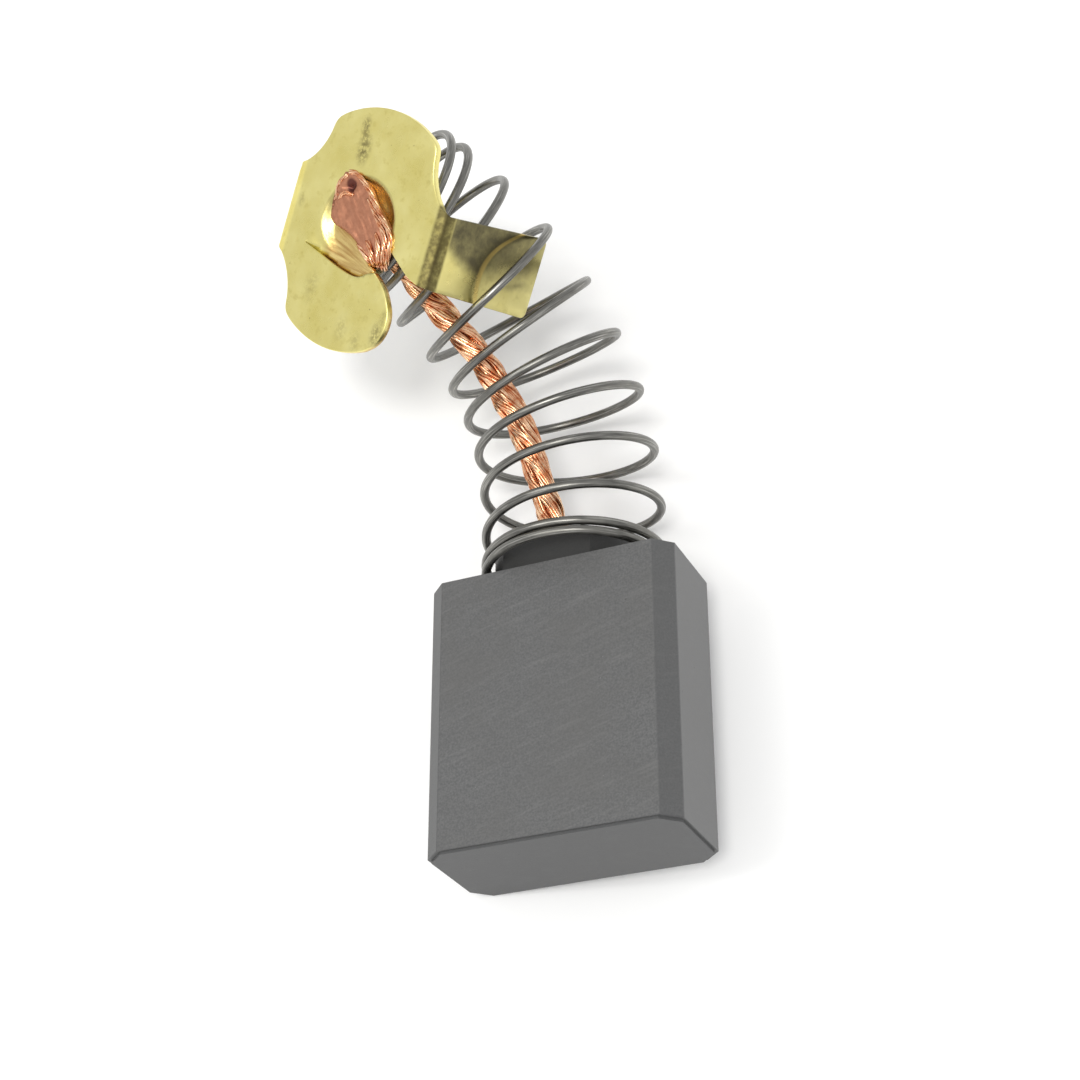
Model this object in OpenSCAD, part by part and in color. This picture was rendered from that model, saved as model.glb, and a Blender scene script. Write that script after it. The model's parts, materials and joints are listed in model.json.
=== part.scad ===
// Carbon brush for a small commutator motor: a graphite block with a round
// boss, a copper shunt tamped into the boss, a coil spring pushed over the
// boss and a pressed brass terminal whose two legs hold the spring's far end.
// The brush lies at rest the way it comes to lie on a table: tipped on the
// lower long edge of the block and the lowest point of the spring's first
// coil, with the spring bowed upward by the pull of the shunt.
// Units are millimetres, +Z is up. The origin is the centre of the contact
// face, which looks along -Y.

/* [Block] */
// Width of the graphite block across its wide faces
block_w = 13.5; // [13:0.1:15]
// Thickness of the graphite block
block_t = 6.5; // [6.4:0.1:7.5]
// Length of the block from the contact face to the shoulder under the boss
block_l = 15; // [12:0.5:22]
// Flat chamfer on the four long edges of the block
edge_chamfer = 0.9; // [0.4:0.05:1.2]
// Small bevel around the contact face
face_bevel = 0.15; // [0.05:0.05:0.3]

/* [Boss] */
// Diameter of the round boss that the spring sits on
boss_d = 7.8; // [7:0.1:7.8]
// Height of the boss above the shoulder
boss_h = 1.8; // [1.4:0.1:2.2]
// Distance from the centre to the flats that trim the boss front and back
boss_flat = 3.05; // [2.8:0.05:3.1]
// Diameter of the hole that the shunt is tamped into
hole_d = 2.8; // [2.4:0.1:3.2]
// Depth of that hole below the top of the boss
hole_depth = 8.5; // [6:0.5:11]

/* [Shunt] */
// Diameter of the stranded copper lead
shunt_d = 1.5; // [1.2:0.05:1.5]
// Thickness of the lead's pressed end, where it is fanned out on the terminal
fan_t = 0.4; // [0.3:0.02:0.42]

/* [Spring] */
// Diameter of the spring wire
wire_d = 0.48; // [0.3:0.01:0.48]

/* [Terminal] */
// Thickness of the brass sheet
sheet_t = 0.4; // [0.3:0.05:0.4]
// Radius of the two round lobes of the plate
lobe_r = 6.45; // [6.2:0.05:6.6]
// Length of each leg below the outer face of the plate
leg_l = 8.35; // [7:0.05:9]
// Width of a leg where it leaves the bend
leg_w_root = 3.9; // [3.6:0.1:4]
// Width of a leg near its tip
leg_w_tip = 4.4; // [4:0.1:4.4]
// Depth of the round dimple that the shunt is pressed into
dimple_depth = 0.45; // [0.3:0.05:0.45]

/* [Hidden] */
$fn = 72;

// ---- where everything lies, measured from the centre of the shoulder ----
// x runs across the block's width, y from the shoulder towards the terminal
// and z across the block's thickness, towards the side that lies uppermost.

// Centre of the spring's first coil
coil_start = [0.4, 0.29, 0.22];
// Radius of the coils to the middle of the wire
coil_r = 4.66;
// Angle at which the wire passes zero turns
coil_phase = 202.9;
// First and last turn: both ends are closed coils
turn_first = -0.5;
turn_last = 10.85;
// Straight pieces that one turn is made of, and sides of the wire
steps = 24;
wire_sides = 8;
// Pitch in mm per turn, at turn 0, 1, 2 and so on
pitch = [0.52, 0.6, 2.88, 2.91, 2.85, 2.72, 2.64, 3.03, 3.07, 2.15, 0.84, 0.54];
// Bend of the coil axis in degrees per turn, across and along the thickness
bend_a = [0, 1.1, -1.3, -3.6, -5.8, -6.1, -5.5, -5.1, -5.0, -5.7, -0.8, 0];
bend_b = [0, -1.3, -3.1, -6.5, -8.4, -8.9, -9.6, -8.8, -6.3, -10.0, -4.0, 0];

// Centre of the terminal's outer face, and how the terminal is turned
term_at = [-6.36, 16.37, 12.88];
term_turn = [24.8, -1.7, -34.4];
// Distance from the terminal's centre to the outer face of a leg
leg_out = 5.68;
// Outer radius of the bend between plate and leg
bend_r = 0.64;
// Round corner at a leg's tip
tip_r = 0.35;

// Route of the shunt from inside the block to the hole in the dimple
route = [
    [0, boss_h - hole_depth + 0.1, 0], [0, -3.3, 0], [0, 0.2, 0], [0, 1.7, 0.02], [-0.48, 3.44, 0.83],
    [-0.8, 5.72, 1.95], [-1.2, 8.19, 3.36], [-1.92, 10.18, 4.72],
    [-2.7, 11.88, 6.01], [-3.51, 13.08, 7.16], [-4.12, 14, 8.2],
    [-4.61, 14.85, 9.42], [-4.91, 15.36, 10.5], [-5.17, 15.66, 11.48],
    [-5.4, 15.7, 12.45]
];
route_steps = 3;
shunt_sides = 12;

// Where the pressed end of the shunt lies on the terminal (across, along)
fan_edge = [
    [-2, 2.6], [-1.3, 2.75], [-0.3, 2.35], [0.55, 1.6], [1.5, 0.9], [2.1, 0.3],
    [2.2, -0.4], [1.7, -1.3], [0.8, -1.3], [-0.8, -0.4], [-2.2, 0], [-2.35, 0.9],
    [-2.25, 1.7]
];
// Middle of the dimple, and its radius at the top and at the floor
dimple_at = [-0.2, 0.2];
dimple_r = 2.6;
dimple_floor_r = 2.15;
// Inner end of the notch, the point it opens towards, and half its width
notch_in = [2.2, -1.17];
notch_out = [5, -3.1];
notch_r = 0.78;
// Hole that the shunt comes up through, under its pressed end
eye_at = [1.3, -0.3];
eye_r = 1.02;
// Middles and radii of the round reliefs between lobes and legs
relief_at = [[7.3, 5.2], [-6.9, 5.2], [-7.6, -5.4], [7.3, -5.2]];
relief_r = [3.6, 3.15, 3.95, 3.6];
// Middle of the legs along the plate, and width of the bends before relief
leg_at = 0.1;
bend_w = 5;

// Lean of the block about its length, so that it rests on its lower edge and
// on the first coil
low_edge = [-(block_w / 2 - edge_chamfer), -block_t / 2];
to_coil = [coil_start[0] - low_edge[0], coil_start[2] - low_edge[1]];
lean = asin((coil_r + wire_d / 2) / norm(to_coil)) - atan2(to_coil[1], to_coil[0]);

graphite = [0.3, 0.3, 0.31];
dark_fill = [0.2, 0.18, 0.17];
copper = [0.85, 0.5, 0.35];
steel = [0.42, 0.41, 0.38];
brass = [0.82, 0.76, 0.42];

function unit(a) = a / norm(a);

// Value at turn f of a list that holds one value for each whole turn
function at_turn(list, f) =
    let (g = max(0, min(f, len(list) - 1)), i = min(floor(g), len(list) - 2))
    list[i] + (g - i) * (list[i + 1] - list[i]);

// One step of the coil axis: [centre, direction, first crosswise direction]
function axis_step(s, f) =
    let (
        t = s[1], e1 = s[2], e2 = cross(t, e1),
        a = at_turn(bend_a, f) / steps * PI / 180,
        b = at_turn(bend_b, f) / steps * PI / 180,
        t2 = unit(t + a * e1 + b * e2)
    )
    [s[0] + at_turn(pitch, f) / steps * unit(t + t2), t2, unit(e1 - t2 * (e1 * t2))];

steps_all = round((turn_last - turn_first) * steps);
coil_axis = [
    for (i = 0, s = [coil_start, [0, 1, 0], [1, 0, 0]]; i <= steps_all;
         s = axis_step(s, turn_first + (i + 0.5) / steps), i = i + 1) s
];
wire_path = [
    for (i = [0 : steps_all])
        let (s = coil_axis[i], q = 360 * (turn_first + i / steps) + coil_phase)
        s[0] + coil_r * (cos(q) * s[2] + sin(q) * cross(s[1], s[2]))
];

// Smooth curve through the points of a route
function curve(p, m) = [
    for (i = [0 : len(p) - 2], k = [0 : m - 1])
        let (
            t = k / m, p1 = p[i], p2 = p[i + 1],
            p0 = i == 0 ? 2 * p1 - p2 : p[i - 1],
            p3 = i == len(p) - 2 ? 2 * p2 - p1 : p[i + 2]
        )
        0.5 * (2 * p1 + (p2 - p0) * t + (2 * p0 - 5 * p1 + 4 * p2 - p3) * t * t
            + (3 * p1 - p0 - 3 * p2 + p3) * t * t * t),
    p[len(p) - 1]
];

// Round tube along a path, its rings turned as little as possible
module tube(path, r, sides, side0) {
    n = len(path);
    dirs = [for (i = [0 : n - 1]) unit(path[min(i + 1, n - 1)] - path[max(i - 1, 0)])];
    sides_dir = [
        for (i = 0, e = unit(side0 - dirs[0] * (side0 * dirs[0])); i < n;
             i = i + 1, e = i < n ? unit(e - dirs[i] * (e * dirs[i])) : e) e
    ];
    pts = [
        for (i = [0 : n - 1], k = [0 : sides - 1])
            path[i] + r * (cos(360 * k / sides) * sides_dir[i]
                + sin(360 * k / sides) * cross(dirs[i], sides_dir[i]))
    ];
    faces = [
        [for (k = [0 : sides - 1]) k],
        for (i = [0 : n - 2], k = [0 : sides - 1])
            let (a = i * sides + k, b = i * sides + (k + 1) % sides)
            [a, a + sides, b + sides, b],
        [for (k = [sides - 1 : -1 : 0]) (n - 1) * sides + k]
    ];
    polyhedron(points = pts, faces = faces, convexity = 12);
}

// From the shoulder's centre to where the brush lies
module placed() {
    rotate([0, -lean, 0]) translate([0, block_l, 0]) children();
}

// From the terminal's own axes to where the terminal lies
module on_terminal() {
    translate(term_at) rotate(term_turn) children();
}

// Outline of the block across its length
module block_outline(inset) {
    w = block_w / 2 - inset;
    t = block_t / 2 - inset;
    c = edge_chamfer;
    polygon([[c - w, -t], [w - c, -t], [w, c - t], [w, t - c],
             [w - c, t], [c - w, t], [-w, t - c], [-w, c - t]]);
}

module carbon_block() {
    color(graphite) placed() difference() {
        union() {
            translate([0, face_bevel - block_l, 0]) rotate([-90, 0, 0])
                linear_extrude(block_l - face_bevel) block_outline(0);
            translate([0, -block_l, 0]) rotate([-90, 0, 0])
                linear_extrude(block_l - 1) block_outline(face_bevel);
            intersection() {
                translate([0, -1, 0]) rotate([-90, 0, 0])
                    cylinder(h = 1 + boss_h - 0.25, d = boss_d);
                translate([-boss_d, -2, -boss_flat]) cube([2 * boss_d, 6, 2 * boss_flat]);
            }
            intersection() {
                translate([0, boss_h - 0.25, 0]) rotate([-90, 0, 0])
                    cylinder(h = 0.25, d1 = boss_d, d2 = boss_d - 0.5);
                translate([-boss_d, -2, -boss_flat]) cube([2 * boss_d, 6, 2 * boss_flat]);
            }
        }
        translate([0, boss_h - hole_depth, 0]) rotate([-90, 0, 0])
            cylinder(h = hole_depth + 1, d = hole_d);
        translate([0, boss_h - 0.7, 0]) rotate([-90, 0, 0])
            cylinder(h = 0.71, d1 = hole_d, d2 = hole_d + 1.42);
    }
}

// Powder tamped round the shunt, just below the mouth of the hole
module tamping_plug() {
    color(dark_fill) placed() difference() {
        translate([0, boss_h - hole_depth + 0.02, 0]) rotate([-90, 0, 0])
            cylinder(h = hole_depth - 1, d = hole_d - 0.04);
        translate([0, boss_h - hole_depth + 0.06, 0]) rotate([-90, 0, 0])
            cylinder(h = hole_depth, d = shunt_d + 0.06);
    }
}

module shunt() {
    color(copper) placed() difference() {
        union() {
            tube(curve(route, route_steps), shunt_d / 2, shunt_sides, [1, 0, 0]);
            // the pressed end fills the dimple, a hair clear of its wall
            on_terminal() intersection() {
                translate([0, 0, 0.02 - dimple_depth]) linear_extrude(fan_t) polygon(fan_edge);
                translate([dimple_at[0], dimple_at[1], -dimple_depth])
                    cylinder(h = dimple_depth, r1 = dimple_floor_r - 0.03, r2 = dimple_r - 0.03);
            }
        }
        // pressed flush with the plate
        on_terminal() translate([-4, -4, -0.02]) cube([8, 8, 4]);
    }
}

module spring() {
    color(steel) placed() tube(wire_path, wire_d / 2, wire_sides, [0, 1, 0]);
}

// Outline of the terminal's plate, up to the bends of the legs
module plate_outline() {
    difference() {
        intersection() {
            circle(r = lobe_r);
            translate([bend_r - leg_out, -8]) square([2 * (leg_out - bend_r), 16]);
        }
        reliefs();
    }
}

// Round reliefs between the lobes and the legs
module reliefs() {
    for (i = [0 : 3]) translate(relief_at[i]) circle(r = relief_r[i]);
}

// The notch that the shunt comes through, as a round-ended slot
module notch_outline() {
    d = notch_out - notch_in;
    translate(notch_in) rotate(atan2(d[1], d[0])) {
        circle(r = notch_r);
        translate([0, -notch_r]) square([norm(d), 2 * notch_r]);
    }
}

// One leg with its bend, towards +x
module leg() {
    h = leg_l - bend_r;
    // the bend
    translate([leg_out - bend_r, 0, -bend_r]) intersection() {
        rotate([90, 0, 0]) difference() {
            cylinder(h = bend_w, r = bend_r, center = true);
            cylinder(h = bend_w + 1, r = bend_r - sheet_t, center = true);
        }
        translate([0, -bend_w, 0]) cube([2 * bend_r, 2 * bend_w, 2 * bend_r]);
    }
    // the blade, which widens towards its tip
    translate([leg_out - sheet_t, leg_at, -bend_r]) rotate([0, 90, 0]) linear_extrude(sheet_t)
        polygon([[0, -leg_w_root / 2], [h - tip_r, -leg_w_tip / 2], [h, -leg_w_tip / 2 + tip_r],
                 [h, leg_w_tip / 2 - tip_r], [h - tip_r, leg_w_tip / 2], [0, leg_w_root / 2]]);
}

module terminal() {
    color(brass) placed() on_terminal() difference() {
        union() {
            translate([0, 0, -sheet_t]) linear_extrude(sheet_t) plate_outline();
            // the dimple stands out below the plate
            translate([dimple_at[0], dimple_at[1], -dimple_depth - sheet_t])
                cylinder(h = dimple_depth, r1 = dimple_floor_r + 0.1, r2 = dimple_r + 0.12);
            leg();
            mirror([1, 0, 0]) leg();
        }
        translate([dimple_at[0], dimple_at[1], -dimple_depth])
            cylinder(h = dimple_depth + 0.01, r1 = dimple_floor_r, r2 = dimple_r);
        translate([0, 0, -bend_r]) linear_extrude(4) reliefs();
        translate([0, 0, -3]) linear_extrude(4) {
            notch_outline();
            translate(eye_at) circle(r = eye_r);
        }
    }
}

carbon_block();
tamping_plug();
shunt();
spring();
terminal();
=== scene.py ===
import json
import math

import bmesh
import bpy
import numpy as np
from mathutils import Matrix, Vector, geometry, noise

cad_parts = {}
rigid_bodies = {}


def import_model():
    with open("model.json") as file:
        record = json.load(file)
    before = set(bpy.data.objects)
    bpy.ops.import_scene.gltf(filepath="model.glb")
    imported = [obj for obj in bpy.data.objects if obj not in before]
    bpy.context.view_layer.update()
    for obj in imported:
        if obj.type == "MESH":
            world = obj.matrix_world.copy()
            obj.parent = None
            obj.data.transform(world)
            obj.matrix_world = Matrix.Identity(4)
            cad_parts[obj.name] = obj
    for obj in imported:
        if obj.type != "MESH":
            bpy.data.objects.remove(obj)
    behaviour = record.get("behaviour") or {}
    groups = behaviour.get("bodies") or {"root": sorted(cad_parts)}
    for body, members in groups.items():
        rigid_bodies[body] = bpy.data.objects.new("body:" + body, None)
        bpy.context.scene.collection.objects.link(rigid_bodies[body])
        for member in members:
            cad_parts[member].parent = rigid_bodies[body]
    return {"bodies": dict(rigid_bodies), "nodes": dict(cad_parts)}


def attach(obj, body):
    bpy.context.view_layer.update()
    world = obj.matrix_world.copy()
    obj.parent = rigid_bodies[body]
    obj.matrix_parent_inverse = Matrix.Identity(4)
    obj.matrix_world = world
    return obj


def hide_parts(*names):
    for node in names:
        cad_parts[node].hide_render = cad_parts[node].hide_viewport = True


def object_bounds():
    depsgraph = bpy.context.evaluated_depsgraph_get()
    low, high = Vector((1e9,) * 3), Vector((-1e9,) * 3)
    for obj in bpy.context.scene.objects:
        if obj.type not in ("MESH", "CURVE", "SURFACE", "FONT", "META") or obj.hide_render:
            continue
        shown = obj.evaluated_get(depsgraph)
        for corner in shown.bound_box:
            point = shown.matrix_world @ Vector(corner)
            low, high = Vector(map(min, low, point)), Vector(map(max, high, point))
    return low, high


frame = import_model()
cad_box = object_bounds()
MM = 0.001
ROOT = list(frame["bodies"])[0]
scene = bpy.context.scene
scene.view_settings.view_transform = "Standard"

# ---------------------------------------------------------------------------
# where things lie: the same numbers as the construction, in millimetres
# ---------------------------------------------------------------------------
BLOCK_W, BLOCK_T, BLOCK_L, EDGE = 13.5, 6.5, 15.0, 0.9
BOSS_D, BOSS_H, BOSS_FLAT, HOLE_D = 7.8, 1.8, 3.05, 2.8
WIRE_D, SHUNT_D, SHEET = 0.48, 1.5, 0.4
COIL_START = np.array([0.4, 0.29, 0.22])
COIL_R, COIL_PHASE, TURN_FIRST, TURN_LAST = 4.66, 202.9, -0.5, 10.85
PITCH = [0.52, 0.6, 2.88, 2.91, 2.85, 2.72, 2.64, 3.03, 3.07, 2.15, 0.84, 0.54]
BEND_A = [0, 1.1, -1.3, -3.6, -5.8, -6.1, -5.5, -5.1, -5.0, -5.7, -0.8, 0]
BEND_B = [0, -1.3, -3.1, -6.5, -8.4, -8.9, -9.6, -8.8, -6.3, -10.0, -4.0, 0]
TERM_AT, TERM_TURN = np.array([-6.36, 16.37, 12.88]), (24.8, -1.7, -34.4)
ROUTE = np.array([
    [0, -6.6, 0], [0, -3.3, 0], [0, 0.2, 0], [0, 1.7, 0.02], [-0.48, 3.44, 0.83],
    [-0.8, 5.72, 1.95], [-1.2, 8.19, 3.36], [-1.92, 10.18, 4.72],
    [-2.7, 11.88, 6.01], [-3.51, 13.08, 7.16], [-4.12, 14, 8.2],
    [-4.61, 14.85, 9.42], [-4.91, 15.36, 10.5], [-5.17, 15.66, 11.48],
    [-5.4, 15.7, 12.45]])

low_edge = np.array([-(BLOCK_W / 2 - EDGE), -BLOCK_T / 2])
to_coil = np.array([COIL_START[0], COIL_START[2]]) - low_edge
LEAN = math.asin((COIL_R + WIRE_D / 2) / np.hypot(*to_coil)) - math.atan2(to_coil[1], to_coil[0])


def rot(axis, a):
    c, s = math.cos(a), math.sin(a)
    i, j = [(1, 2), (2, 0), (0, 1)][axis]
    m = np.eye(3)
    m[i, i] = m[j, j] = c
    m[i, j], m[j, i] = -s, s
    return m


LAY = rot(1, -LEAN)
TERM_R = rot(2, math.radians(TERM_TURN[2])) @ rot(1, math.radians(TERM_TURN[1])) @ rot(0, math.radians(TERM_TURN[0]))


def placed(p):
    """Shoulder coordinates in mm to the row's frame in mm."""
    return (np.asarray(p, float) + [0, BLOCK_L, 0]) @ LAY.T


def on_terminal(q):
    return np.asarray(q, float) @ TERM_R.T + TERM_AT


# ---------------------------------------------------------------------------
# the camera: where the photograph was taken from
# ---------------------------------------------------------------------------
CAM_POS = np.array([39.84, -39.74, 94.33]) - [0, BLOCK_L, 0]
AIM = np.array([-0.55, 1.7, 2.6])
cam_data = bpy.data.cameras.new("camera")
cam = bpy.data.objects.new("camera", cam_data)
scene.collection.objects.link(cam)
back = placed(CAM_POS) - placed(AIM)
back /= np.linalg.norm(back)
up0 = LAY @ np.array([0.196, 0.877, 0.439])
right = np.cross(up0, back)
right /= np.linalg.norm(right)
up = np.cross(back, right)
m = Matrix(np.column_stack([right, up, back]).tolist()).to_4x4()
m.translation = Vector(placed(CAM_POS) * MM)
cam.matrix_world = m
cam_data.sensor_width = 36
cam_data.lens = 74
cam_data.clip_start, cam_data.clip_end = 0.005, 10
scene.camera = cam


# ---------------------------------------------------------------------------
# helpers
# ---------------------------------------------------------------------------
def unit(v):
    v = np.asarray(v, float)
    return v / np.linalg.norm(v, axis=-1, keepdims=True)


def new_mesh(name, verts, faces, smooth=True, uvs=None):
    """verts in mm in the row's frame."""
    me = bpy.data.meshes.new(name)
    me.from_pydata((np.asarray(verts) * MM).tolist(), [], [list(map(int, f)) for f in faces])
    if smooth:
        me.shade_smooth()
    if uvs is not None:
        layer = me.uv_layers.new(name="UVMap")
        li = np.array([u for f in uvs for u in f], float).ravel()
        layer.data.foreach_set("uv", li)
    me.validate()
    me.update()
    o = bpy.data.objects.new(name, me)
    scene.collection.objects.link(o)
    return o


def used_only(points, faces):
    """The points that some face uses, and the faces renumbered to them."""
    keep = sorted({i for f in faces for i in f})
    at = {k: i for i, k in enumerate(keep)}
    return [points[k] for k in keep], [[at[i] for i in f] for f in faces]


def curve(p, n):
    """Smooth curve through points, n steps between two of them."""
    p = np.asarray(p, float)
    q = np.vstack([2 * p[0] - p[1], p, 2 * p[-1] - p[-2]])
    out = []
    for i in range(1, len(q) - 2):
        p0, p1, p2, p3 = q[i - 1:i + 3]
        for t in np.arange(n) / n:
            out.append(0.5 * (2 * p1 + (p2 - p0) * t + (2 * p0 - 5 * p1 + 4 * p2 - p3) * t * t
                              + (3 * p1 - p0 - 3 * p2 + p3) * t ** 3))
    out.append(p[-1])
    return np.array(out)


def resample(p, step):
    d = np.linalg.norm(np.diff(p, axis=0), axis=1)
    s = np.concatenate([[0], np.cumsum(d)])
    n = max(2, int(round(s[-1] / step)) + 1)
    t = np.linspace(0, s[-1], n)
    return np.column_stack([np.interp(t, s, p[:, i]) for i in range(p.shape[1])]), t


def carry_frame(path, side):
    """Directions and a side direction carried along a path with as little turning as possible."""
    d = np.empty_like(path)
    d[1:-1] = path[2:] - path[:-2]
    d[0], d[-1] = path[1] - path[0], path[-1] - path[-2]
    d = unit(d)
    e = np.empty_like(path)
    v = np.asarray(side, float)
    for i in range(len(path)):
        v = v - d[i] * (v @ d[i])
        v = v / np.linalg.norm(v)
        e[i] = v
    return d, e, np.cross(d, e)


def tube(path, r, sides, side=(0, 1, 0), round_end=0.0, dome=False):
    """Verts, faces and uvs (u around, v along in mm) of a tube. r is one radius or one for each ring."""
    path = np.asarray(path, float)
    n = len(path)
    r = np.broadcast_to(np.asarray(r, float), (n,)).copy()
    d, e, f = carry_frame(path, side)
    s = np.concatenate([[0], np.cumsum(np.linalg.norm(np.diff(path, axis=0), axis=1))])
    rings, radii, ss = [path], [r], [s]
    if dome or round_end > 0:
        q = round_end if round_end > 0 else r[0]
        k = np.radians([75, 50, 25])
        rings = [path[0] - d[0] * (q * np.sin(k))[:, None] + d[0] * q * (0 if dome else 1), path if dome else path,
                 path[-1] + d[-1] * (q * np.sin(k[::-1]))[:, None] - d[-1] * q * (0 if dome else 1)]
        if dome:
            radii = [r[0] * np.cos(k), r, r[-1] * np.cos(k[::-1])]
        else:
            path = path.copy()
            path[0] += d[0] * q
            path[-1] -= d[-1] * q
            rings[1] = path
            radii = [r[0] - q * (1 - np.cos(k)), r, r[-1] - q * (1 - np.cos(k[::-1]))]
        ss = [np.full(3, s[0]), s, np.full(3, s[-1])]
        d = np.vstack([np.repeat(d[:1], 3, 0), d, np.repeat(d[-1:], 3, 0)])
        e = np.vstack([np.repeat(e[:1], 3, 0), e, np.repeat(e[-1:], 3, 0)])
        f = np.vstack([np.repeat(f[:1], 3, 0), f, np.repeat(f[-1:], 3, 0)])
    c = np.vstack(rings)
    rr = np.concatenate(radii)
    sv = np.concatenate(ss)
    n = len(c)
    a = 2 * np.pi * np.arange(sides) / sides
    v = c[:, None] + rr[:, None, None] * (np.cos(a)[None, :, None] * e[:, None] + np.sin(a)[None, :, None] * f[:, None])
    v = v.reshape(-1, 3)
    faces, uvs = [], []
    for i in range(n - 1):
        for k in range(sides):
            k2 = (k + 1) % sides
            faces.append([i * sides + k, i * sides + k2, (i + 1) * sides + k2, (i + 1) * sides + k])
            u0, u1 = k / sides, (k + 1) / sides
            uvs.append([(u0, sv[i]), (u1, sv[i]), (u1, sv[i + 1]), (u0, sv[i + 1])])
    faces.append(list(range(sides))[::-1])
    uvs.append([(0.5, sv[0])] * sides)
    faces.append([(n - 1) * sides + k for k in range(sides)])
    uvs.append([(0.5, sv[-1])] * sides)
    return v, faces, uvs


def join_parts(parts):
    V, F, U, n = [], [], [], 0
    for v, f, u in parts:
        V.append(v)
        F += [[i + n for i in q] for q in f]
        U += u
        n += len(v)
    return np.vstack(V), F, U


# ---------------------------------------------------------------------------
# materials
# ---------------------------------------------------------------------------
class Mat:
    """A node material with its coordinates in millimetres."""

    def __init__(self, name):
        self.m = bpy.data.materials.new(name)
        self.m.use_nodes = True
        self.t = self.m.node_tree
        self.n = self.t.nodes
        self.l = self.t.links
        self.bsdf = self.n["Principled BSDF"]
        tc = self.n.new("ShaderNodeTexCoord")
        mp = self.n.new("ShaderNodeMapping")
        mp.inputs["Scale"].default_value = (1000, 1000, 1000)
        self.l.new(tc.outputs["Object"], mp.inputs["Vector"])
        self.mm = mp.outputs["Vector"]
        self.uv = tc.outputs["UV"]

    def set(self, **kw):
        for k, v in kw.items():
            self.bsdf.inputs[k.replace("_", " ")].default_value = v
        return self

    def map(self, vec, scale, loc=(0, 0, 0), rot=(0, 0, 0)):
        mp = self.n.new("ShaderNodeMapping")
        mp.inputs["Scale"].default_value = scale
        mp.inputs["Location"].default_value = loc
        mp.inputs["Rotation"].default_value = rot
        self.l.new(vec, mp.inputs["Vector"])
        return mp.outputs["Vector"]

    def local(self, loc, r):
        """Coordinates in mm in a turned frame: loc in mm and r a 3 by 3 matrix, both in the row's frame."""
        mp = self.n.new("ShaderNodeMapping")
        mp.vector_type = "TEXTURE"
        mp.inputs["Location"].default_value = tuple(loc)
        mp.inputs["Rotation"].default_value = tuple(Matrix(np.asarray(r).tolist()).to_euler("XYZ"))
        self.l.new(self.mm, mp.inputs["Vector"])
        return mp.outputs["Vector"]

    def xyz(self, vec):
        n = self.n.new("ShaderNodeSeparateXYZ")
        self.l.new(vec, n.inputs[0])
        return n.outputs[0], n.outputs[1], n.outputs[2]

    def vec(self, x, y=0.0, z=0.0):
        n = self.n.new("ShaderNodeCombineXYZ")
        for i, v in enumerate((x, y, z)):
            if isinstance(v, bpy.types.NodeSocket):
                self.l.new(v, n.inputs[i])
            else:
                n.inputs[i].default_value = v
        return n.outputs[0]

    def step(self, v, lo, hi):
        """0 below lo, 1 above hi, smooth between; lo may be above hi."""
        n = self.n.new("ShaderNodeMapRange")
        n.interpolation_type = "SMOOTHSTEP"
        n.inputs["From Min"].default_value = min(lo, hi)
        n.inputs["From Max"].default_value = max(lo, hi)
        n.inputs["To Min"].default_value = 0.0 if lo < hi else 1.0
        n.inputs["To Max"].default_value = 1.0 if lo < hi else 0.0
        self.l.new(v, n.inputs["Value"])
        return n.outputs[0]

    def near(self, vec, p, r, scale=(1, 1, 1)):
        """1 at p, 0 from distance r."""
        v = self.map(vec, scale, loc=tuple(-a * b for a, b in zip(p, scale)))
        n = self.n.new("ShaderNodeVectorMath")
        n.operation = "LENGTH"
        self.l.new(v, n.inputs[0])
        return self.step(n.outputs["Value"], r, 0.0)

    def noise(self, vec, scale, detail=4, rough=0.5, distort=0):
        n = self.n.new("ShaderNodeTexNoise")
        n.inputs["Scale"].default_value = scale
        n.inputs["Detail"].default_value = detail
        n.inputs["Roughness"].default_value = rough
        n.inputs["Distortion"].default_value = distort
        self.l.new(vec, n.inputs["Vector"])
        return n.outputs[0]

    def voronoi(self, vec, scale, feature="F1", rand=1.0):
        n = self.n.new("ShaderNodeTexVoronoi")
        n.feature = feature
        n.inputs["Scale"].default_value = scale
        n.inputs["Randomness"].default_value = rand
        self.l.new(vec, n.inputs["Vector"])
        return n.outputs["Distance"]

    def ramp(self, fac, stops, interp="LINEAR"):
        n = self.n.new("ShaderNodeValToRGB")
        n.color_ramp.interpolation = interp
        el = n.color_ramp.elements
        while len(el) < len(stops):
            el.new(0.5)
        for e, (p, c) in zip(el, stops):
            e.position = p
            e.color = (c, c, c, 1) if not hasattr(c, "__len__") else (*c, 1)
        self.l.new(fac, n.inputs["Fac"])
        return n.outputs["Color"]

    def mix(self, fac, a, b, mode="MIX"):
        n = self.n.new("ShaderNodeMix")
        n.data_type = "RGBA"
        n.blend_type = mode
        for s, v in ((n.inputs[0], fac), (n.inputs[6], a), (n.inputs[7], b)):
            if isinstance(v, bpy.types.NodeSocket):
                self.l.new(v, s)
            elif hasattr(v, "__len__"):
                s.default_value = (*v, 1)
            else:
                s.default_value = v
        return n.outputs[2]

    def math(self, op, a, b=0.0, c=0.0, clamp=False):
        n = self.n.new("ShaderNodeMath")
        n.operation = op
        n.use_clamp = clamp
        for i, v in enumerate((a, b, c)):
            if isinstance(v, bpy.types.NodeSocket):
                self.l.new(v, n.inputs[i])
            else:
                n.inputs[i].default_value = v
        return n.outputs[0]

    def bump(self, height, strength, dist, normal=None):
        n = self.n.new("ShaderNodeBump")
        n.inputs["Strength"].default_value = strength
        n.inputs["Distance"].default_value = dist * MM
        self.l.new(height, n.inputs["Height"])
        if normal is not None:
            self.l.new(normal, n.inputs["Normal"])
        return n.outputs["Normal"]

    def link(self, **kw):
        for k, v in kw.items():
            self.l.new(v, self.bsdf.inputs[k.replace("_", " ")])
        return self


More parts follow.
